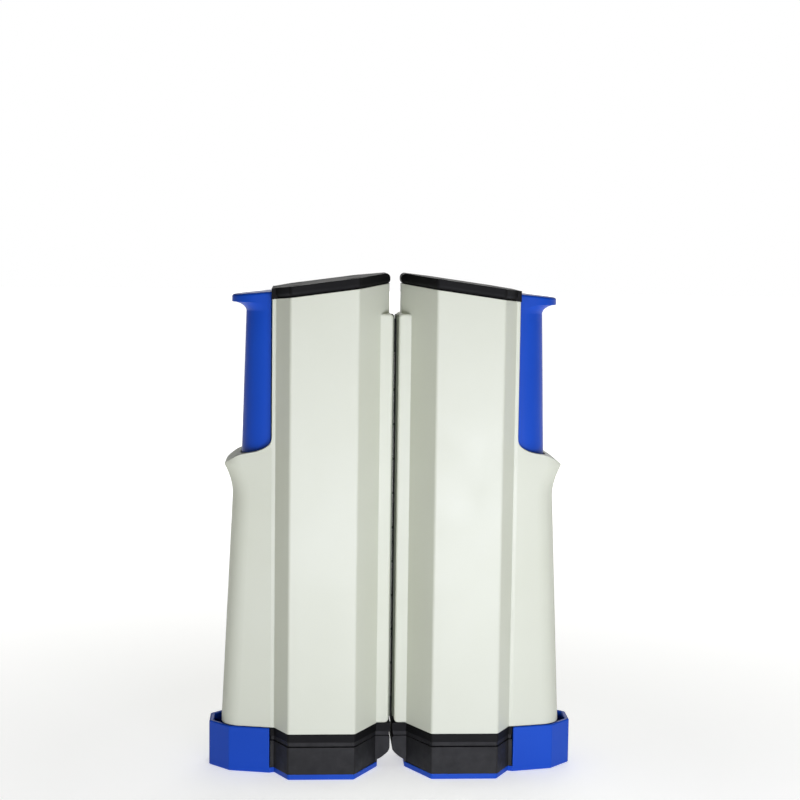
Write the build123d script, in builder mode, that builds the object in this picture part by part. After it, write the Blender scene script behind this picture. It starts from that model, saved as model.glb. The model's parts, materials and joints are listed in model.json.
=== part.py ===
from build123d import *
from math import asin, cos, sin, sqrt
import os

os.makedirs("parts", exist_ok=True)

# Pocket table tennis net: two mirrored clamp posts with a net rolled up between them.
# Everything is drawn for the right post, at x > 0, and mirrored for the left one.
# x runs outwards from the plane where the posts meet, the front is -Y, the floor is z = 0.

# cylinders that stand on their place, or hang from it
UP = (Align.CENTER, Align.CENTER, Align.MIN)
DOWN = (Align.CENTER, Align.CENTER, Align.MAX)
THROUGH = 40.0  # more than half the depth of a post, for cuts that go right through

# travel
CLAMP_TRAVEL = 50.0  # the lower jaw opens this far, so the plunger drops this far

# heights
PLATE = 2.0  # floor of the lower jaw
JAW_TOP = 11.7  # top of the lower jaw's rubber block
MOUTH = 12.0  # underside of the upper jaw's rubber pad
CAP_LOW = 13.5  # underside of the bottom cap
SHELL_LOW = 16.5  # lower edge of the housing shells
TRAY_TOP = 16.3  # rim of the lower jaw's tray
NET_LOW = 18.6
NET_HIGH = 161.6
MOUTH_HIGH = 162.2  # top of the slot that the net comes out of
LIP_HIGH = 163.7
TOP_AT_ZERO = 174.5  # the housing's sloping top, extended to x = 0
TOP_SLOPE = 0.138  # it falls this much per mm outwards
CAP_THICK = 3.8
BELOW_TOP = 160.0  # a level under the sloping top, from which it is cut or built

# plan of the housing, as the corners of one half of its outline
LIP_X = 1.0
FOOT_LIP_X = 0.4  # the rubber and the bottom cap close up further than the lips
LIP_Y = 10.0
FACE_IN = 13.5
FACE_OUT = 37.0
FACE_Y = 23.5
WING_X = 42.0
WING_Y = 14.8
WALL_OUT = 43.3
WALL = 2.0
BODY = [(2.2, 4.6), (FACE_IN, FACE_Y), (FACE_OUT, FACE_Y), (WING_X, WING_Y), (WALL_OUT, WING_Y)]
LIPPED = [(LIP_X, LIP_Y), (5.4, LIP_Y)] + BODY[1:]
FOOTED = [(FOOT_LIP_X, LIP_Y), (5.4, LIP_Y)] + BODY[1:]

# the wing that sleeves the plunger
WING_FOOT = 61.0  # its side at the bottom
WING_NECK = 57.2  # its side below the finger flare
NECK_Z = 99.0
FLARE = [(57.6, 103.0), (58.9, 107.0), (60.6, 110.5)]  # its side and height, up the finger flare
FLARE_TIP = (60.4, 108.6)
FLARE_RIM = (53.9, 114.0)
WINDOW_LOW = 121.0  # foot of the window that shows the plunger
WING_CORNER = 8.0
WING_TAPER = 0.22  # its sides close in this much per mm outwards
HOLLOW_TOP = 54.25  # the side of its hollow at the top
HOLLOW_CORNER = 6.0

# plunger
COLUMN_IN = 43.7
COLUMN_TOP = 52.7
COLUMN_FOOT = 57.4
COLUMN_Y = 12.3
COLUMN_CORNER = 10.5
HEAD_LOW = 164.2
HEAD_THICK = 6.0
HEAD = [(53.3, 165.4), (54.8, 166.5), (57.8, 167.2)]  # its side and height, up the thumb head's underside
BORE_TOP = 161.5
BORE_X = 48.4
BORE_R = 3.3
PIN_Z = 32.0
PIN_R = 1.5
COIL_R = 2.45

# net roller
ROLL_X = 25.2
AXLE_R = 2.0
AXLE_LOW = 14.5
AXLE_HIGH = 169.5
SOCKET_R = 4.2
TUBE_R = 6.5
TUBE_IN_R = 4.6
TUBE_LOW = 19.0
TUBE_LONG = 143.0
REWIND_R = 3.3
WIRE_R = 0.4  # half the thickness of both springs' wire
ROLL_R = 14.0
NET_THICK = 0.5

# screws
BOSSES = [(15.2, 17.3), (35.6, 16.8), (15.2, -17.3), (35.6, -16.8)]
BOSS_R = 3.2
FOOT_SCREWS = [(50.5, 8.0), (50.5, -8.0)]
SHANK_R = 1.2
HEAD_R = 2.3
HEAD_SINK = 1.6  # the heads lie this deep in the top cap

# grip ribs of both rubber jaws
RIBS = [(x, 0) for x in range(10, 41, 3)]
RIB_WIDE = 1.0
RIB_LONG = 28.0
RIB_DEEP = 0.5


def top(x):
    """Height of the housing's sloping top."""
    return TOP_AT_ZERO - TOP_SLOPE * x


def plan(points, z, inset=0.0, corner=0.0):
    """Horizontal face from one half of its outline and the mirror image of that half.
    corner rounds the four corners of the front and rear faces."""
    with BuildSketch(Plane.XY.offset(z)) as face:
        with BuildLine():
            Polyline(*points, *[(x, -y) for x, y in reversed(points)], close=True)
        make_face()
        if inset:
            offset(amount=-inset, kind=Kind.INTERSECTION)
        if corner:
            fillet(face.vertices().filter_by(lambda v: abs(v.Y) > FACE_Y - 3), corner)
    return face.sketch


def wing(inner, outer, half, z, corner):
    """Horizontal face of the wing or the plunger: it narrows outwards and has two round corners."""
    end = half - WING_TAPER * (outer - inner)
    with BuildSketch(Plane.XY.offset(z)) as face:
        with BuildLine():
            Polyline((inner, half), (outer, end), (outer, -end), (inner, -half), close=True)
        make_face()
        fillet(face.vertices().sort_by(Axis.X)[2:], corner)
    return face.sketch


def screw(length, head):
    """Pan head screw with its head's underside at z = 0, pointing down."""
    with BuildPart() as body:
        with BuildSketch():
            Circle(HEAD_R)
        extrude(amount=head)
        fillet(body.edges().group_by(Axis.Z)[-1], 0.5)
        with BuildSketch(Plane.XY.offset(-length)):
            Circle(SHANK_R)
        extrude(amount=length)
        chamfer(body.edges().group_by(Axis.Z)[0], 0.5)
        with BuildSketch(Plane.XY.offset(head)):
            Rectangle(2.6, 0.6)
            Rectangle(0.6, 2.6)
        extrude(amount=-0.8, mode=Mode.SUBTRACT)
    return body.part


def export_pair(part, name):
    """The right post's piece, and its mirror image for the left post."""
    part.label = "right_" + name
    export_step(part, f"parts/right_{name}.step")
    other = mirror(part, about=Plane.YZ)
    other.label = "left_" + name
    export_step(other, f"parts/left_{name}.step")


# Housing wing: the outer sleeve, with the finger flare that ends below the plunger's window
with BuildPart() as wing_outer:
    loft([wing(WALL_OUT, WING_FOOT, WING_Y, SHELL_LOW, WING_CORNER),
          wing(WALL_OUT, WING_NECK, WING_Y, NECK_Z, WING_CORNER)])
    loft([wing(WALL_OUT, side, WING_Y, z, WING_CORNER) for side, z in [(WING_NECK, NECK_Z)] + FLARE])
    extrude(wing(WALL_OUT, FLARE[-1][0], WING_Y, FLARE[-1][1], WING_CORNER), amount=12.0)
    with BuildSketch(Plane.XZ) as wing_silhouette:
        with BuildLine():
            Polyline((WALL_OUT, WINDOW_LOW), (40.0, WINDOW_LOW), (40.0, SHELL_LOW - 1))
            Polyline((40.0, SHELL_LOW - 1), (70.0, SHELL_LOW - 1), (70.0, 104.0), FLARE_TIP)
            Spline(FLARE_TIP, (59.9, 110.2), (57.6, 112.2), FLARE_RIM, tangents=[(-0.1, 1), (-1, 0.3)])
            Spline(FLARE_RIM, (47.5, 115.6), (44.3, 117.6), (WALL_OUT, WINDOW_LOW),
                   tangents=[(-1, 0.3), (0, 1)])
        make_face()
    extrude(amount=THROUGH, both=True, mode=Mode.INTERSECT)

# Housing, whole: an eight-sided tube with a mouth for the net and a channel for the plunger
with BuildPart() as housing:
    extrude(plan(BODY, SHELL_LOW, corner=1.2), amount=165.0)
    add(wing_outer.part)
    extrude(plan([(LIP_X, LIP_Y), (8.0, LIP_Y)], SHELL_LOW), amount=LIP_HIGH - SHELL_LOW)
    fillet(housing.edges().filter_by(Axis.Y).filter_by(lambda e: abs(e.center().X - LIP_X) < 0.01), 1.5)
    fillet(housing.edges().filter_by(Axis.Z).filter_by(lambda e: abs(e.center().X - LIP_X) < 0.01), 0.8)
    with BuildSketch(Plane.XZ):
        with BuildLine():
            Polyline((-5, top(-5)), (80, top(80)), (80, 220), (-5, 220), close=True)
        make_face()
    extrude(amount=THROUGH, both=True, mode=Mode.SUBTRACT)
    extrude(plan(LIPPED, SHELL_LOW - 1, inset=WALL), amount=MOUTH_HIGH - SHELL_LOW + 1, mode=Mode.SUBTRACT)
    extrude(plan(BODY, BELOW_TOP, inset=WALL), amount=30.0, mode=Mode.SUBTRACT)
    loft([wing(WALL_OUT, WING_FOOT - WALL, WING_Y - WALL, SHELL_LOW, HOLLOW_CORNER),
          wing(WALL_OUT, HOLLOW_TOP, WING_Y - WALL, 120.0, HOLLOW_CORNER)], mode=Mode.SUBTRACT)
    extrude(plan([(LIP_X - 1, 0.9), (LIP_X + WALL + 1, 0.9)], NET_LOW - 1.0),
            amount=MOUTH_HIGH - NET_LOW + 1.0, mode=Mode.SUBTRACT)
    with Locations(*[(x, y, SHELL_LOW + 10.0) for x, y in BOSSES]):
        Cylinder(BOSS_R, 14.0)
    with Locations(*[(x, y, top(x) - 10.5) for x, y in BOSSES]):
        Cylinder(BOSS_R, 14.0)
    with Locations(*[(x, y, 25.0) for x, y in BOSSES]):
        Cylinder(SHANK_R, 13.0, mode=Mode.SUBTRACT)
    with Locations(*[(x, y, top(x) - 9.0) for x, y in BOSSES]):
        Cylinder(SHANK_R, 13.0, mode=Mode.SUBTRACT)
    with Locations(Location((BORE_X, 0.6, PIN_Z), (90, 0, 0))):
        Cylinder(PIN_R, 27.2, mode=Mode.SUBTRACT)

# Front half of the housing
with BuildPart() as front_shell:
    add(housing.part)
    split(bisect_by=Plane.XZ.offset(0.1), keep=Keep.TOP)
export_pair(front_shell.part, "front_shell")

# Rear half of the housing
with BuildPart() as rear_shell:
    add(housing.part)
    split(bisect_by=Plane.XZ.offset(-0.1), keep=Keep.BOTTOM)
export_pair(rear_shell.part, "rear_shell")

# Bottom cap: closes the housing, holds the axle's foot and backs the upper jaw's pad
with BuildPart() as bottom_cap:
    extrude(plan(FOOTED, CAP_LOW, corner=0.9), amount=SHELL_LOW - CAP_LOW)
    extrude(plan(BODY, SHELL_LOW, inset=WALL + 0.05), amount=2.0)
    extrude(plan(BODY, SHELL_LOW, inset=WALL + 1.6), amount=2.0, mode=Mode.SUBTRACT)
    with Locations((ROLL_X, 0, SHELL_LOW)):
        Cylinder(SOCKET_R, 1.0, align=UP)
    with Locations(*[(x, y, CAP_LOW) for x, y in BOSSES]):
        Cylinder(SHANK_R + 0.2, 14.0, mode=Mode.SUBTRACT)
        Cylinder(HEAD_R + 0.25, 3.0, mode=Mode.SUBTRACT)
    with Locations((ROLL_X, 0, AXLE_LOW)):
        Cylinder(AXLE_R, 4.0, align=UP, mode=Mode.SUBTRACT)
export_pair(bottom_cap.part, "bottom_cap")

# Upper jaw pad: thin rubber sheet glued under the bottom cap, ribbed across for grip
with BuildPart() as upper_pad:
    extrude(plan(FOOTED, MOUTH, inset=0.3, corner=0.9), amount=CAP_LOW - MOUTH)
    with BuildSketch(Plane.XY.offset(MOUTH)):
        with Locations(*RIBS):
            Rectangle(RIB_WIDE, RIB_LONG)
    extrude(amount=RIB_DEEP, mode=Mode.SUBTRACT)
export_pair(upper_pad.part, "upper_pad")

# Screws that hold the bottom cap to both shells, under the pad
with BuildPart() as bottom_screws:
    with Locations(*[Location((x, y, CAP_LOW + 1.5), (180, 0, 0)) for x, y in BOSSES]):
        add(screw(12.0, 1.3))
export_pair(bottom_screws.part, "bottom_screws")

# Rim of the top cap, which fits inside the housing
with BuildPart() as cap_rim:
    extrude(plan(BODY, 155.0, inset=WALL + 0.05), amount=30.0)
    extrude(plan(BODY, 155.0, inset=WALL + 1.6), amount=30.0, mode=Mode.SUBTRACT)
    with BuildSketch(Plane.XZ):
        with BuildLine():
            Polyline((-5, top(-5) - 3), (80, top(80) - 3), (80, top(80)), (-5, top(-5)), close=True)
        make_face()
    extrude(amount=THROUGH, both=True, mode=Mode.INTERSECT)

# Top cap: sloping plate with its rim and a socket for the axle
with BuildPart() as top_cap:
    extrude(plan(BODY, BELOW_TOP, inset=-0.3, corner=1.6), amount=30.0)
    with BuildSketch(Plane.XZ):
        with BuildLine():
            Polyline((-5, top(-5)), (80, top(80)), (80, top(80) + CAP_THICK), (-5, top(-5) + CAP_THICK),
                     close=True)
        make_face()
    extrude(amount=THROUGH, both=True, mode=Mode.INTERSECT)
    fillet(top_cap.edges().filter_by(Axis.Y).group_by(Axis.X)[0].sort_by(Axis.Z)[0], 1.6)
    fillet(top_cap.faces().filter_by(GeomType.PLANE).sort_by(Axis.Z)[-1].edges(), 1.7)
    add(cap_rim.part)
    with Locations((ROLL_X, 0, top(ROLL_X) + 0.5)):
        Cylinder(SOCKET_R, 8.1, align=DOWN)
    with Locations((ROLL_X, 0, AXLE_HIGH)):
        Cylinder(AXLE_R, 10.0, align=DOWN, mode=Mode.SUBTRACT)
    with Locations(*[(x, y, top(x)) for x, y in BOSSES]):
        Cylinder(SHANK_R + 0.2, 12.0, mode=Mode.SUBTRACT)
    with Locations(*[(x, y, top(x) + HEAD_SINK) for x, y in BOSSES]):
        Cylinder(HEAD_R + 0.25, 6.0, align=UP, mode=Mode.SUBTRACT)
export_pair(top_cap.part, "top_cap")

# Screws that hold the top cap to both shells
with BuildPart() as top_screws:
    with Locations(*[(x, y, top(x) + HEAD_SINK) for x, y in BOSSES]):
        add(screw(13.0, 1.3))
export_pair(top_screws.part, "top_screws")

# Lip seals: soft strips on the two lips of the net's mouth, so the posts close without knocking
with BuildPart() as lip_seals:
    for y in (4.2, -4.2):
        with Locations((LIP_X, y, 18.1)):
            Box(0.6, 5.0, 144.9, align=(Align.MAX, Align.CENTER, Align.MIN))
    fillet(lip_seals.edges().filter_by(Axis.Z).filter_by(lambda e: e.center().X < LIP_X - 0.5), 0.3)
export_pair(lip_seals.part, "lip_seals")

# Plunger: slotted column with a thumb head, hollow for the clamp spring
with BuildPart() as plunger:
    loft([wing(COLUMN_IN, side, COLUMN_Y, z, COLUMN_CORNER) for side, z in [(COLUMN_TOP, HEAD_LOW)] + HEAD])
    extrude(wing(COLUMN_IN, HEAD[-1][0], COLUMN_Y, HEAD[-1][1], COLUMN_CORNER), amount=HEAD_THICK)
    with BuildSketch(Plane.XZ):
        Polygon((40, 171.5), (40, 176), (60, 176), (60, 169.5), align=None)
    extrude(amount=20.0, both=True, mode=Mode.SUBTRACT)
    fillet(plunger.faces().filter_by(GeomType.PLANE).sort_by(Axis.Z)[-1].edges().sort_by(Axis.X)[1:], 0.9)
    loft([wing(COLUMN_IN, COLUMN_FOOT, COLUMN_Y, PLATE, COLUMN_CORNER),
          wing(COLUMN_IN, COLUMN_TOP, COLUMN_Y, HEAD_LOW, COLUMN_CORNER)])
    with Locations((BORE_X, 0, PLATE)):
        Cylinder(BORE_R, BORE_TOP - PLATE, align=UP, mode=Mode.SUBTRACT)
    with BuildSketch(Plane.XZ):
        with Locations((BORE_X, PIN_Z + CLAMP_TRAVEL / 2)):
            SlotCenterToCenter(CLAMP_TRAVEL, 2 * (PIN_R + 0.3), rotation=90)
    extrude(amount=20.0, both=True, mode=Mode.SUBTRACT)
    with Locations(*[(x, y, PLATE) for x, y in FOOT_SCREWS]):
        Cylinder(SHANK_R, 11.0, align=UP, mode=Mode.SUBTRACT)
export_pair(plunger.part, "plunger")

# Lower jaw: plate under the whole post, with a tray round the plunger's foot
JAW = [(4.9, 9.2)] + BODY[1:4] + [(WALL_OUT + 0.3, 15.4)]
TRAY = [(WALL_OUT + 0.3, 15.4), (58.0, 12.2), (65.4, 4.8)]
with BuildPart() as lower_jaw:
    extrude(plan(JAW + TRAY[1:], 0.0, corner=1.2), amount=PLATE)
    chamfer(lower_jaw.edges().group_by(Axis.Z)[0], 0.4)
    extrude(plan(TRAY, 0.5), amount=TRAY_TOP - 0.5)
    fillet(lower_jaw.edges().filter_by(Axis.Z).filter_by(lambda e: e.center().X > 50), 1.2)
    extrude(plan([(40.0, 14.6), (57.2, 10.7), (63.8, 4.1)], PLATE), amount=20.0, mode=Mode.SUBTRACT)
    fillet(lower_jaw.edges().group_by(Axis.Z)[-1], 0.5)
    with Locations(*[(x, y, 0) for x, y in FOOT_SCREWS]):
        Cylinder(SHANK_R + 0.2, 8.0, mode=Mode.SUBTRACT)
        Cylinder(HEAD_R + 0.25, 2.8, mode=Mode.SUBTRACT)
export_pair(lower_jaw.part, "lower_jaw")

# Screws that hold the lower jaw to the plunger
with BuildPart() as foot_screws:
    with Locations(*[Location((x, y, 1.4), (180, 0, 0)) for x, y in FOOT_SCREWS]):
        add(screw(10.0, 1.2))
export_pair(foot_screws.part, "foot_screws")

# Jaw pad: rubber block on the lower jaw, its nose rounded below
with BuildPart() as jaw_pad:
    extrude(plan([(FOOT_LIP_X, 9.6), (5.6, 9.6)] + BODY[1:], PLATE, corner=0.9), amount=JAW_TOP - PLATE)
    with BuildSketch(Plane.XZ):
        with BuildLine():
            Polyline((4.9, PLATE), (60, PLATE), (60, JAW_TOP), (1.1, JAW_TOP), (FOOT_LIP_X, JAW_TOP - 0.7))
            Line((FOOT_LIP_X, JAW_TOP - 0.7), (FOOT_LIP_X, 7.8))
            Spline((FOOT_LIP_X, 7.8), (2.0, 4.9), (4.9, 3.0), tangents=[(0, -1), (1, -0.35)])
            Line((4.9, 3.0), (4.9, PLATE))
        make_face()
    extrude(amount=THROUGH, both=True, mode=Mode.INTERSECT)
    with BuildSketch(Plane.XY.offset(JAW_TOP)):
        with Locations(*RIBS):
            Rectangle(RIB_WIDE, RIB_LONG)
    extrude(amount=-RIB_DEEP, mode=Mode.SUBTRACT)
export_pair(jaw_pad.part, "jaw_pad")

# Spring pin: steel pin across the wing, through the plunger's slot
with BuildPart() as spring_pin:
    with Locations(Location((BORE_X, 0.15, PIN_Z), (90, 0, 0))):
        Cylinder(PIN_R, 25.9)
    chamfer(spring_pin.edges(), 0.2)
export_pair(spring_pin.part, "spring_pin")

# Spring seat: washer that rests on the pin inside the plunger
with BuildPart() as spring_seat:
    with Locations((BORE_X, 0, PIN_Z + PIN_R)):
        Cylinder(BORE_R - 0.3, 1.0, align=UP)
export_pair(spring_seat.part, "spring_seat")

# Clamp spring: pushes the plunger up and so closes the jaws
with BuildPart() as clamp_spring:
    with BuildLine() as clamp_coil:
        Helix(pitch=4.2, height=126.0, radius=COIL_R, center=(BORE_X, 0, PIN_Z + PIN_R + 1.5))
    with BuildSketch(Plane(origin=clamp_coil.line @ 0, z_dir=clamp_coil.line % 0)):
        Circle(WIRE_R)
    sweep()
export_pair(clamp_spring.part, "clamp_spring")

# Roller axle: steel rod fixed in both caps
with BuildPart() as roller_axle:
    with Locations((ROLL_X, 0, AXLE_LOW)):
        Cylinder(AXLE_R, AXLE_HIGH - AXLE_LOW, align=UP)
    chamfer(roller_axle.edges(), 0.3)
export_pair(roller_axle.part, "roller_axle")

# Roller tube: the net is wound on it
with BuildPart() as roller_tube:
    with Locations((ROLL_X, 0, TUBE_LOW)):
        Cylinder(TUBE_R, TUBE_LONG, align=UP)
        Cylinder(TUBE_IN_R, TUBE_LONG, align=UP, mode=Mode.SUBTRACT)
export_pair(roller_tube.part, "roller_tube")

# Roller bushes: plugs that turn on the axle
for bush_name, bush_z, bush_turn in (("lower_bush", 17.8, 0), ("upper_bush", 163.2, 180)):
    with BuildPart() as bush:
        with Locations(Location((ROLL_X, 0, bush_z), (bush_turn, 0, 0))):
            Cylinder(TUBE_R - 0.3, 1.2, align=UP)
            Cylinder(TUBE_IN_R, 8.0, align=UP)
            Cylinder(AXLE_R + 0.06, 8.0, align=UP, mode=Mode.SUBTRACT)
    export_pair(bush.part, bush_name)

# Rewind spring: long torsion coil between the axle and the tube
with BuildPart() as rewind_spring:
    with BuildLine() as rewind_coil:
        Helix(pitch=4.0, height=104.0, radius=REWIND_R, center=(ROLL_X, 0, 38.0))
    with BuildSketch(Plane(origin=rewind_coil.line @ 0, z_dir=rewind_coil.line % 0)):
        Circle(WIRE_R)
    sweep()
export_pair(rewind_spring.part, "rewind_spring")

# Net roll: the wound net
with BuildPart() as net_roll:
    with Locations((ROLL_X, 0, NET_LOW)):
        Cylinder(ROLL_R, NET_HIGH - NET_LOW, align=UP)
        Cylinder(TUBE_R, NET_HIGH - NET_LOW, align=UP, mode=Mode.SUBTRACT)
export_pair(net_roll.part, "net_roll")

# Net web: the free net from one roll to the other, through both mouths
WEB_TURN = 5.0  # where the web bends from the mouth towards the roll
WEB_R = ROLL_R + 0.35 + NET_THICK / 2
web_reach = sqrt((ROLL_X - WEB_TURN) ** 2 - WEB_R**2)
web_angle = asin(WEB_R / (ROLL_X - WEB_TURN))
web_end = (WEB_TURN + web_reach * cos(web_angle), web_reach * sin(web_angle))
with BuildPart() as net_web:
    with BuildSketch(Plane.XY.offset(NET_LOW)):
        with BuildLine() as web_path:
            Polyline((-web_end[0], web_end[1]), (-WEB_TURN, 0), (WEB_TURN, 0), web_end)
        trace(web_path.line, NET_THICK)
    extrude(amount=NET_HIGH - NET_LOW)
net_web.part.label = "net_web"
export_step(net_web.part, "parts/net_web.step")
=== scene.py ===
import json
import math
import bpy
from mathutils import Matrix, Vector


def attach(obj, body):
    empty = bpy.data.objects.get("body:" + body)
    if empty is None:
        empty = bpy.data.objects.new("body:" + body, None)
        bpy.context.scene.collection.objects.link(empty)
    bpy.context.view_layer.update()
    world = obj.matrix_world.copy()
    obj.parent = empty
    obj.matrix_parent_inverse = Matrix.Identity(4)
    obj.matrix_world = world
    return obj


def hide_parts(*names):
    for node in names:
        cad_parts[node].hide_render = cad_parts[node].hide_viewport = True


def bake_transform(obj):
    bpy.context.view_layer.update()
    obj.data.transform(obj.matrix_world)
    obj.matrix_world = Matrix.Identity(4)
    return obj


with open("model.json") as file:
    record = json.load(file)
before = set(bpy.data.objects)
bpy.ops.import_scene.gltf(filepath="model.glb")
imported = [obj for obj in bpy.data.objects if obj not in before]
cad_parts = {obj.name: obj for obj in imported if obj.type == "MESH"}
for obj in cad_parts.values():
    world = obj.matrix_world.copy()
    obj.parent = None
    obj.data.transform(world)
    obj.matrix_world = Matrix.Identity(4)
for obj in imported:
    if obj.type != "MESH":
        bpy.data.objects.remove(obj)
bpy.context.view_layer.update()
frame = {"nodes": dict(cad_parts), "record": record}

scene = bpy.context.scene
mm = 0.001


# ---------------------------------------------------------------- shader nodes

def new_material(name, shader="ShaderNodeBsdfPrincipled"):
    mat = bpy.data.materials.new(name)
    mat.use_nodes = True
    tree = mat.node_tree
    tree.nodes.clear()
    out = tree.nodes.new("ShaderNodeOutputMaterial")
    bsdf = tree.nodes.new(shader)
    tree.links.new(bsdf.outputs[0], out.inputs[0])
    return mat, tree, bsdf


def add(tree, kind, **values):
    """A node with the given inputs and properties."""
    node = tree.nodes.new(kind)
    for key, value in values.items():
        if key in node.inputs:
            node.inputs[key].default_value = value
        else:
            setattr(node, key, value)
    return node


def object_coords(tree):
    return add(tree, "ShaderNodeTexCoord").outputs["Object"]


def noise(tree, coords, scale, detail=3.0, rough=0.5):
    node = add(tree, "ShaderNodeTexNoise", Scale=scale, Detail=detail, Roughness=rough)
    tree.links.new(coords, node.inputs["Vector"])
    return node.outputs["Fac"]


def remap(tree, value, from_min, from_max, to_min, to_max):
    node = add(tree, "ShaderNodeMapRange")
    tree.links.new(value, node.inputs["Value"])
    node.inputs["From Min"].default_value = from_min
    node.inputs["From Max"].default_value = from_max
    node.inputs["To Min"].default_value = to_min
    node.inputs["To Max"].default_value = to_max
    return node.outputs[0]


def math_node(tree, operation, a, b):
    """a and b are numbers or sockets."""
    node = add(tree, "ShaderNodeMath", operation=operation)
    for socket, value in zip(node.inputs, (a, b)):
        if isinstance(value, float):
            socket.default_value = value
        else:
            tree.links.new(value, socket)
    return node.outputs[0]


def mix_colour(tree, factor, a, b):
    """a and b are colours or sockets."""
    node = add(tree, "ShaderNodeMix", data_type="RGBA")
    tree.links.new(factor, node.inputs[0])
    for socket, value in ((node.inputs[6], a), (node.inputs[7], b)):
        if isinstance(value, tuple):
            socket.default_value = (*value, 1.0)
        else:
            tree.links.new(value, socket)
    return node.outputs[2]


def stretched(tree, coords, scale, rotation=(0.0, 0.0, 0.0)):
    node = add(tree, "ShaderNodeMapping", Scale=scale, Rotation=rotation)
    tree.links.new(coords, node.inputs["Vector"])
    return node.outputs[0]


def rounded(tree, radius, samples=6):
    """Normals that turn smoothly over an edge, as on a moulded corner."""
    return add(tree, "ShaderNodeBevel", Radius=radius, samples=samples).outputs[0]


def edges(tree, radius):
    """1 along edges, 0 on flat surfaces."""
    geometry = add(tree, "ShaderNodeNewGeometry")
    dot = add(tree, "ShaderNodeVectorMath", operation="DOT_PRODUCT")
    tree.links.new(rounded(tree, radius, samples=4), dot.inputs[0])
    tree.links.new(geometry.outputs["Normal"], dot.inputs[1])
    return remap(tree, dot.outputs["Value"], 1.0, 0.9, 0.0, 1.0)


def bumped(tree, bsdf, height, strength, distance, normal=None):
    bump = add(tree, "ShaderNodeBump", Strength=strength, Distance=distance)
    tree.links.new(height, bump.inputs["Height"])
    if normal:
        tree.links.new(normal, bump.inputs["Normal"])
    tree.links.new(bump.outputs[0], bsdf.inputs["Normal"])


# ---------------------------------------------------------------- materials

def plastic(name, base, dark, light, rough, grain, grain_scale, wear, gloss=0.5, scuffs=0.0):
    """Moulded plastic: a fine spark-eroded grain, faint flow marks from dark to base, edges that
    hands have polished towards light, and a few hairline scuffs."""
    mat, tree, bsdf = new_material(name)
    coords = object_coords(tree)
    flow = remap(tree, noise(tree, coords, 22.0, 2.0), 0.3, 0.7, 0.0, 1.0)
    touched = remap(tree, noise(tree, coords, 120.0, 5.0), 0.35, 0.7, 0.0, wear)
    worn = math_node(tree, "MULTIPLY", edges(tree, 0.5 * mm), touched)
    colour = mix_colour(tree, worn, mix_colour(tree, flow, dark, base), light)
    tree.links.new(colour, bsdf.inputs["Base Color"])
    smudge = remap(tree, noise(tree, coords, 60.0, 5.0, 0.6), 0.3, 0.75, rough - 0.05, rough + 0.07)
    polish = math_node(tree, "MULTIPLY", worn, 0.12)
    tree.links.new(math_node(tree, "SUBTRACT", smudge, polish), bsdf.inputs["Roughness"])
    height = noise(tree, coords, grain_scale, 4.0, 0.65)
    if scuffs:
        streaks = stretched(tree, coords, (260.0, 260.0, 9.0), (0.3, 0.5, 0.2))
        lines = remap(tree, noise(tree, streaks, 4.0, 2.0), 0.70, 0.78, 0.0, 1.0)
        patch = remap(tree, noise(tree, coords, 28.0, 3.0), 0.5, 0.62, 0.0, scuffs)
        height = math_node(tree, "SUBTRACT", height, math_node(tree, "MULTIPLY", lines, patch))
    bumped(tree, bsdf, height, grain, 0.05 * mm, rounded(tree, 0.35 * mm))
    bsdf.inputs["Specular IOR Level"].default_value = gloss
    return mat


def rubber(name, base, dusty):
    """Moulded rubber: a matt skin with a faint bloom of dust."""
    mat, tree, bsdf = new_material(name)
    coords = object_coords(tree)
    dust = remap(tree, noise(tree, coords, 90.0, 6.0, 0.7), 0.45, 0.8, 0.0, 1.0)
    tree.links.new(mix_colour(tree, dust, base, dusty), bsdf.inputs["Base Color"])
    matt = remap(tree, noise(tree, coords, 300.0), 0.3, 0.7, 0.48, 0.66)
    tree.links.new(matt, bsdf.inputs["Roughness"])
    bumped(tree, bsdf, noise(tree, coords, 2600.0, 4.0), 0.35, 0.06 * mm, rounded(tree, 0.3 * mm))
    bsdf.inputs["Specular IOR Level"].default_value = 0.25
    return mat


def steel(name, base, rough):
    """Drawn or turned steel: fine rings across the piece's length."""
    mat, tree, bsdf = new_material(name)
    coords = object_coords(tree)
    lines = noise(tree, stretched(tree, coords, (1.0, 1.0, 12.0)), 700.0, 4.0)
    stain = remap(tree, noise(tree, coords, 150.0), 0.3, 0.7, 0.0, 1.0)
    darker = tuple(0.75 * channel for channel in base)
    tree.links.new(mix_colour(tree, stain, base, darker), bsdf.inputs["Base Color"])
    brushed = remap(tree, lines, 0.3, 0.7, rough - 0.08, rough + 0.1)
    tree.links.new(brushed, bsdf.inputs["Roughness"])
    bsdf.inputs["Metallic"].default_value = 1.0
    bumped(tree, bsdf, lines, 0.2, 0.02 * mm)
    return mat


def net_fibre(name, low, high, scale):
    """Twisted nylon twine and woven tape: diagonal strands, fuzzy at the edges."""
    mat, tree, bsdf = new_material(name)
    wave = add(tree, "ShaderNodeTexWave", wave_type="BANDS", bands_direction="DIAGONAL",
               Scale=scale, Distortion=1.5, Detail=2.0)
    tree.links.new(object_coords(tree), wave.inputs["Vector"])
    strands = wave.outputs["Fac"]
    tree.links.new(mix_colour(tree, strands, low, high), bsdf.inputs["Base Color"])
    tree.links.new(remap(tree, strands, 0.0, 1.0, 0.75, 0.55), bsdf.inputs["Roughness"])
    bsdf.inputs["Sheen Weight"].default_value = 0.25
    bsdf.inputs["Sheen Roughness"].default_value = 0.5
    bumped(tree, bsdf, strands, 0.6, 0.1 * mm)
    return mat


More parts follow.
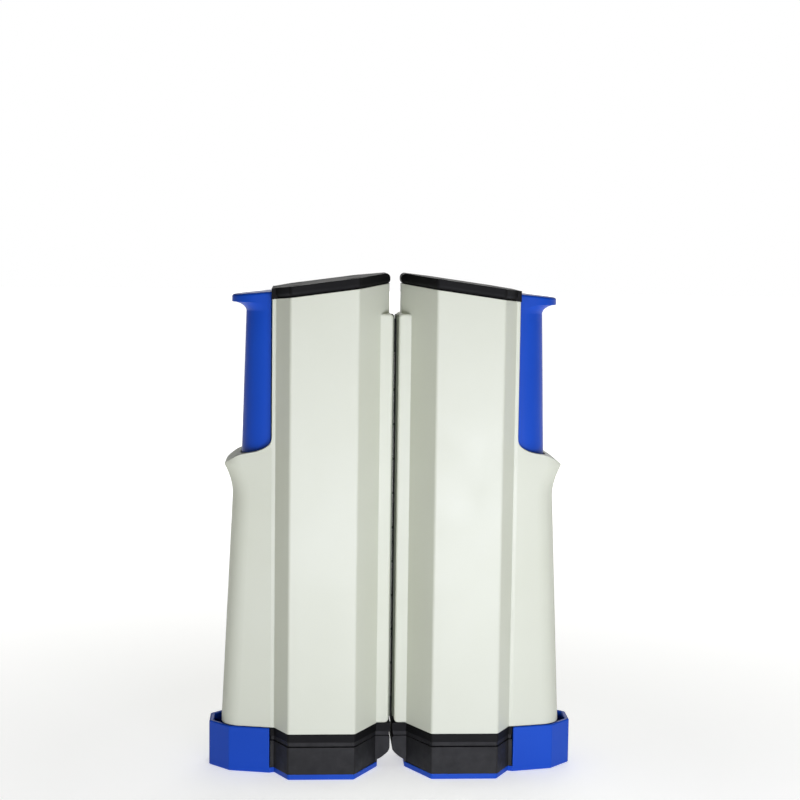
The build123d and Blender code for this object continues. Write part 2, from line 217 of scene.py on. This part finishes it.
housing = plastic("housing_plastic", base=(0.565, 0.585, 0.485), dark=(0.545, 0.565, 0.46),
                  light=(0.65, 0.67, 0.60), rough=0.42, grain=0.10, grain_scale=2200.0, wear=0.4,
                  gloss=0.35, scuffs=0.4)
blue = plastic("blue_plastic", base=(0.004, 0.060, 0.44), dark=(0.003, 0.050, 0.385),
               light=(0.03, 0.13, 0.60), rough=0.42, grain=0.10, grain_scale=1800.0, wear=0.5,
               gloss=0.17, scuffs=0.4)
black = plastic("black_plastic", base=(0.004, 0.004, 0.0042), dark=(0.003, 0.003, 0.0032),
                light=(0.024, 0.024, 0.025), rough=0.58, grain=0.22, grain_scale=2000.0, wear=0.5,
                gloss=0.12, scuffs=0.5)
inner = plastic("inner_plastic", base=(0.30, 0.31, 0.30), dark=(0.26, 0.27, 0.26),
                light=(0.4, 0.4, 0.4), rough=0.5, grain=0.15, grain_scale=1500.0, wear=0.2)
pad = rubber("pad_rubber", base=(0.008, 0.008, 0.0085), dusty=(0.020, 0.020, 0.020))
seal = rubber("seal_rubber", base=(0.17, 0.19, 0.14), dusty=(0.21, 0.23, 0.18))
bright = steel("zinc_steel", base=(0.55, 0.56, 0.58), rough=0.32)
dark = steel("black_steel", base=(0.10, 0.10, 0.105), rough=0.42)
fibre = net_fibre("net_fibre", (0.010, 0.013, 0.012), (0.045, 0.052, 0.048), 900.0)
tape_cloth = net_fibre("tape_cloth", (0.030, 0.034, 0.032), (0.085, 0.092, 0.088), 1500.0)
wound_net = net_fibre("wound_net", (0.012, 0.014, 0.013), (0.050, 0.056, 0.052), 500.0)

finishes = {"housing": housing, "blue_plastic": blue, "black_plastic": black, "inner_plastic": inner,
            "rubber": pad, "grey_rubber": seal, "dark_steel": dark, "bright_steel": bright,
            "net_cloth": fibre}


def shade_smooth(mesh, sharp_from=None):
    for polygon in mesh.polygons:
        polygon.use_smooth = True
    if sharp_from:
        mesh.set_sharp_from_angle(angle=math.radians(sharp_from))


for entry in frame["record"]["subparts"]:
    mesh = frame["nodes"][entry["node"]].data
    mesh.materials.clear()
    mesh.materials.append(finishes[entry["material_slot"]])
    shade_smooth(mesh, sharp_from=28)


# ---------------------------------------------------------------- mesh tools

def new_object(name, points, faces, material):
    """An object from points in metres."""
    mesh = bpy.data.meshes.new(name)
    mesh.from_pydata(points, [], faces)
    mesh.materials.append(material)
    obj = bpy.data.objects.new(name, mesh)
    scene.collection.objects.link(obj)
    return obj


def mesh_piece(name, verts, faces, material, slot):
    """A piece of the object from points in millimetres."""
    obj = new_object(name, [(x * mm, y * mm, z * mm) for x, y, z in verts], faces, material)
    return obj


def band(verts, faces, path, low, high, thick):
    """A closed strip that stands on its edge along path."""
    first = len(verts)
    for i, (x, y) in enumerate(path):
        ax, ay = path[max(i - 1, 0)]
        bx, by = path[min(i + 1, len(path) - 1)]
        length = math.hypot(bx - ax, by - ay)
        nx = -(by - ay) / length * thick / 2
        ny = (bx - ax) / length * thick / 2
        verts += [(x + nx, y + ny, low), (x - nx, y - ny, low),
                  (x - nx, y - ny, high), (x + nx, y + ny, high)]
    last = first + 4 * (len(path) - 1)
    for k in range(first, last, 4):
        for j in range(4):
            faces.append((k + j, k + (j + 1) % 4, k + 4 + (j + 1) % 4, k + 4 + j))
    faces += [(first + 3, first + 2, first + 1, first), (last, last + 1, last + 2, last + 3)]


# ---------------------------------------------------------------- free net and its tapes

NET_LOW = 18.6
NET_HIGH = 161.6
PULL = 1700.0  # how far the net is pulled out
STRETCH = 3.0  # the web's stretching part runs from -STRETCH to STRETCH at rest
ROLL_EDGE = (14.1, 9.48)  # where the web leaves the right roll, seen from above
MOUTH_BEND = (5.0, 0.0)  # where it bends into the right mouth
PATH = [(-ROLL_EDGE[0], ROLL_EDGE[1]), (-MOUTH_BEND[0], 0.0), (-STRETCH, 0.0),
        (STRETCH, 0.0), MOUTH_BEND, ROLL_EDGE]

CELL = 12.5  # from one twine to the next, pulled out
TWINE = 0.3  # its thickness
TWINE_HALF = 0.4  # half its width
KNOT_HALF = 1.1
KNOT_DEEP = 0.35
KNOT_TALL = 1.0
KNOT_FACES = ((0, 4, 2), (2, 4, 1), (1, 4, 3), (3, 4, 0), (0, 2, 5), (2, 1, 5), (1, 3, 5), (3, 0, 5))
SIDE_COLUMN = 0.55 * CELL  # along the web, from its stretching part
SIDE_HALF = 0.3
SIDE_KNOT_HALF = 1.0
TAPE = 0.45
TOP_TAPE_LOW = NET_HIGH - 12.0
LOW_TAPE_HIGH = NET_LOW + 5.0
column_ends = (NET_LOW + 4.5, TOP_TAPE_LOW + 0.5)  # inside the tapes
row_heights = [LOW_TAPE_HIGH + CELL * k for k in range(1, 10)]


def knot(verts, faces, left, middle, right, y, z):
    """A small closed double pyramid round a crossing."""
    k = len(verts)
    verts += [(left, y, z), (right, y, z), (middle, y - KNOT_DEEP, z), (middle, y + KNOT_DEEP, z),
              (middle, y, z - KNOT_TALL), (middle, y, z + KNOT_TALL)]
    faces += [(k + a, k + b, k + c) for a, b, c in KNOT_FACES]


def rest_x(pulled):
    """Where a point of the web lies at rest, from how far along the pulled out web it is, 0 to 1.
    It inverts the blend's smooth step, so the columns are evenly spaced once pulled out."""
    pulled = min(max(pulled, 0.0), 1.0)
    return -2 * STRETCH * math.sin(math.asin(1 - 2 * pulled) / 3)


verts, faces = [], []
for z in row_heights:
    band(verts, faces, PATH, z - TWINE_HALF, z + TWINE_HALF, TWINE)
columns = round(PULL / CELL)
for i in range(columns + 1):
    at = i / columns
    ends = [(rest_x(at - TWINE_HALF / PULL), 0.0), (rest_x(at + TWINE_HALF / PULL), 0.0)]
    band(verts, faces, ends, *column_ends, TWINE)
    knot_ends = rest_x(at - KNOT_HALF / PULL), rest_x(at + KNOT_HALF / PULL)
    for z in row_heights:
        knot(verts, faces, knot_ends[0], rest_x(at), knot_ends[1], 0.0, z)

# one more column on each side, between the mouth and the roll
t = (SIDE_COLUMN - MOUTH_BEND[0] + STRETCH) / math.dist(MOUTH_BEND, ROLL_EDGE)
x = MOUTH_BEND[0] + t * (ROLL_EDGE[0] - MOUTH_BEND[0])
y = t * ROLL_EDGE[1]
for side in (-1, 1):
    ends = [(side * (x - SIDE_HALF), y - SIDE_HALF), (side * (x + SIDE_HALF), y + SIDE_HALF)]
    band(verts, faces, ends, *column_ends, TWINE)
    for z in row_heights:
        knot(verts, faces, side * (x - SIDE_KNOT_HALF), side * x, side * (x + SIDE_KNOT_HALF), y, z)
web = mesh_piece("net_web_mesh", verts, faces, fibre, "net_cloth")
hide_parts("net_web")

verts, faces = [], []
for low, high, thick in ((TOP_TAPE_LOW, NET_HIGH, TAPE),  # top tape
                         (NET_LOW, LOW_TAPE_HIGH, TAPE),  # bottom tape
                         (NET_HIGH - 1.3, NET_HIGH - 0.2, 0.75),  # top hem
                         (TOP_TAPE_LOW + 1.0, TOP_TAPE_LOW + 1.4, 0.6),  # seams
                         (LOW_TAPE_HIGH - 1.4, LOW_TAPE_HIGH - 1.0, 0.6),
                         (NET_LOW + 0.2, NET_LOW + 1.3, 0.7)):  # bottom hem
    band(verts, faces, PATH, low, high, thick)
tape = mesh_piece("net_tapes", verts, faces, tape_cloth, "net_cloth")
for obj in (web, tape):
    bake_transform(obj)


# ---------------------------------------------------------------- wound net

ROLL_X = 25.2
INNER_TURN = 6.85
OUTER_TURN = 13.8
LAYER = 0.5
TURN_STEPS = 44
turns = (OUTER_TURN - INNER_TURN) / LAYER


def spiral(side):
    """The wound net seen from above, a little uneven, as cloth is."""
    steps = int(turns * TURN_STEPS)
    path = []
    for i in range(steps + 1):
        angle = 2 * math.pi * turns * i / steps
        radius = INNER_TURN + LAYER * turns * i / steps + 0.05 * math.sin(3.1 * angle)
        path.append((side * (ROLL_X + radius * math.cos(angle)), radius * math.sin(angle)))
    return path


for side, which in ((-1, "left"), (1, "right")):
    verts, faces = [], []
    band(verts, faces, spiral(side), NET_LOW, NET_HIGH, TWINE)
    roll = mesh_piece(which + "_net_roll_cloth", verts, faces, wound_net, "net_cloth")
    shade_smooth(roll.data, sharp_from=40)
    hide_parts(which + "_net_roll")
    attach(roll, which + "_roller")


# ---------------------------------------------------------------- clamp springs

SPRING_X = 48.4
SPRING_LOW = 34.9
SPRING_HIGH = 161.1
COIL_R = 2.45
WIRE_R = 0.4
COILS = 31.0
DEAD_COILS = 1.5  # closed coils at each end
COIL_STEPS = 18
WIRE_SIDES = 8


def coil_height(turn):
    """Height of the wire's middle after this many turns: closed, then open, then closed coils."""
    closed = 2 * WIRE_R + 0.04
    open_coils = COILS - 2 * DEAD_COILS
    pitch = (SPRING_HIGH - SPRING_LOW - 2 * DEAD_COILS * closed) / open_coils
    low_turns = min(turn, DEAD_COILS)
    high_turns = max(turn - COILS + DEAD_COILS, 0.0)
    middle_turns = min(max(turn - DEAD_COILS, 0.0), open_coils)
    return SPRING_LOW + closed * (low_turns + high_turns) + pitch * middle_turns


def coil_mesh(side):
    verts, faces = [], []
    steps = int(COILS * COIL_STEPS)
    for i in range(steps + 1):
        turn = COILS * i / steps
        z = coil_height(turn)
        angle = 2 * math.pi * turn
        for j in range(WIRE_SIDES):
            around = 2 * math.pi * j / WIRE_SIDES
            radius = COIL_R + WIRE_R * math.cos(around)
            x = side * (SPRING_X + radius * math.cos(angle))
            verts.append((x, radius * math.sin(angle), z + WIRE_R * math.sin(around)))
    for i in range(steps):
        for j in range(WIRE_SIDES):
            a = WIRE_SIDES * i + j
            b = WIRE_SIDES * i + (j + 1) % WIRE_SIDES
            faces.append((a, a + WIRE_SIDES, b + WIRE_SIDES, b))
    faces.append(tuple(range(WIRE_SIDES)))
    faces.append(tuple(WIRE_SIDES * steps + j for j in reversed(range(WIRE_SIDES))))
    return verts, faces


for side, which in ((-1, "left"), (1, "right")):
    coil = mesh_piece(which + "_clamp_coil", *coil_mesh(side), bright, "bright_steel")
    shade_smooth(coil.data)
    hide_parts(which + "_clamp_spring")
    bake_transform(coil)


# ---------------------------------------------------------------- stage, in metres

FLOOR_HALF = 6.0
FLAG_HALF = 1.8
FLAG_LOW = 0.01
WALL_RADIUS = 5.2
WALL_SIDES = 96
WALL_LOW = -0.1
WALL_MIDDLE = 1.15
WALL_HIGH = 3.5
SQUARE = [(-1, -1), (1, -1), (1, 1), (-1, 1)]

# The floor paper glows as a painted light: its glow is weakest, 0.54, within 0.12 m of the object
# and rises to full white by 0.55 m out, so it also lights the object from below.
glowing_floor_mat, tree, bsdf = new_material("glowing_floor_paper")
bsdf.inputs["Base Color"].default_value = (0.84, 0.84, 0.83, 1)
bsdf.inputs["Roughness"].default_value = 0.9
bsdf.inputs["Specular IOR Level"].default_value = 0.1
bsdf.inputs["Emission Color"].default_value = (1, 1, 1, 1)
away = add(tree, "ShaderNodeVectorMath", operation="LENGTH")
tree.links.new(object_coords(tree), away.inputs[0])
glow = remap(tree, away.outputs["Value"], 0.12, 0.55, 0.54, 1.0)
tree.links.new(glow, bsdf.inputs["Emission Strength"])

flag_mat, _, bsdf = new_material("flag_cloth")
bsdf.inputs["Base Color"].default_value = (0.02, 0.02, 0.02, 1)
bsdf.inputs["Roughness"].default_value = 0.9

wall_mat, _, emission = new_material("backdrop_light", "ShaderNodeEmission")
emission.inputs["Strength"].default_value = 1.0


def panel(name, corners, material):
    obj = new_object(name, corners, [(0, 1, 2, 3)], material)
    return obj


def round_wall(name, low, high):
    points, sides = [], []
    for i in range(WALL_SIDES):
        angle = 2 * math.pi * i / WALL_SIDES
        x, y = WALL_RADIUS * math.cos(angle), WALL_RADIUS * math.sin(angle)
        points += [(x, y, low), (x, y, high)]
        a, b = 2 * i, 2 * ((i + 1) % WALL_SIDES)
        sides.append((a, b, b + 1, a + 1))
    obj = new_object(name, points, sides, wall_mat)
    return obj


def soft_box(name, place, aim, width, height, power, colour=(1, 1, 1)):
    light = bpy.data.lights.new(name, "AREA")
    light.shape = "RECTANGLE"
    light.size = width
    light.size_y = height
    light.energy = power
    light.color = colour
    obj = bpy.data.objects.new(name, light)
    scene.collection.objects.link(obj)
    obj.location = place
    obj.rotation_euler = (Vector(aim) - Vector(place)).to_track_quat("-Z", "Y").to_euler()
    obj.visible_camera = False


panel("floor", [(FLOOR_HALF * a, FLOOR_HALF * b, 0) for a, b in SQUARE], glowing_floor_mat)

# black cloths at both sides, out of sight, that darken the reflections on the posts' outer faces
for which, x in (("left_flag", -1.2), ("right_flag", 2.8)):
    corners = [(x, FLAG_HALF * a, FLAG_LOW + FLAG_HALF * (b + 1)) for a, b in SQUARE]
    flag = panel(which, corners, flag_mat)
    flag.visible_camera = False

round_wall("backdrop", WALL_LOW, WALL_MIDDLE)
upper = round_wall("upper_backdrop", WALL_MIDDLE, WALL_HIGH)
upper.visible_diffuse = False  # a distant camera sees it, and it lights nothing
upper.visible_glossy = False

soft_box("key", (0.07, -0.36, 0.047), (0, 0, -0.04), 0.22, 0.08, 0.88, (0.97, 0.98, 1.15))
soft_box("top", (0, 0.15, 1.3), (0, 0, 0), 1.0, 1.0, 3.5)
soft_box("back", (0.2, 1.1, 0.7), (0, 0, 0.05), 0.8, 0.8, 3.5)

world = bpy.data.worlds.new("studio")
scene.world = world
world.use_nodes = True
background = world.node_tree.nodes["Background"]
background.inputs["Color"].default_value = (1.0, 1.0, 0.62, 1)
background.inputs["Strength"].default_value = 0.06


# ---------------------------------------------------------------- camera

AZIMUTH, PITCH, ROLL = -0.061, 0.098, 0.013  # radians
TARGET = Vector((2.318, 0, 132.32)) * mm
DISTANCE = 0.5982

right = Vector((math.cos(AZIMUTH), math.sin(AZIMUTH), 0))
level = Vector((-math.sin(AZIMUTH), math.cos(AZIMUTH), 0))
forward = level * math.cos(PITCH) - Vector((0, 0, math.sin(PITCH)))
up = level * math.sin(PITCH) + Vector((0, 0, math.cos(PITCH)))
camera_x = right * math.cos(ROLL) + up * math.sin(ROLL)
camera_y = up * math.cos(ROLL) - right * math.sin(ROLL)
turn = Matrix((camera_x, camera_y, -forward)).transposed().to_4x4()

camera_data = bpy.data.cameras.new("camera")
camera_data.sensor_width = 36.0
camera_data.lens = 74.952
camera = bpy.data.objects.new("camera", camera_data)
scene.collection.objects.link(camera)
camera.matrix_world = Matrix.Translation(TARGET - forward * DISTANCE) @ turn
scene.camera = camera
scene.view_settings.view_transform = "Standard"
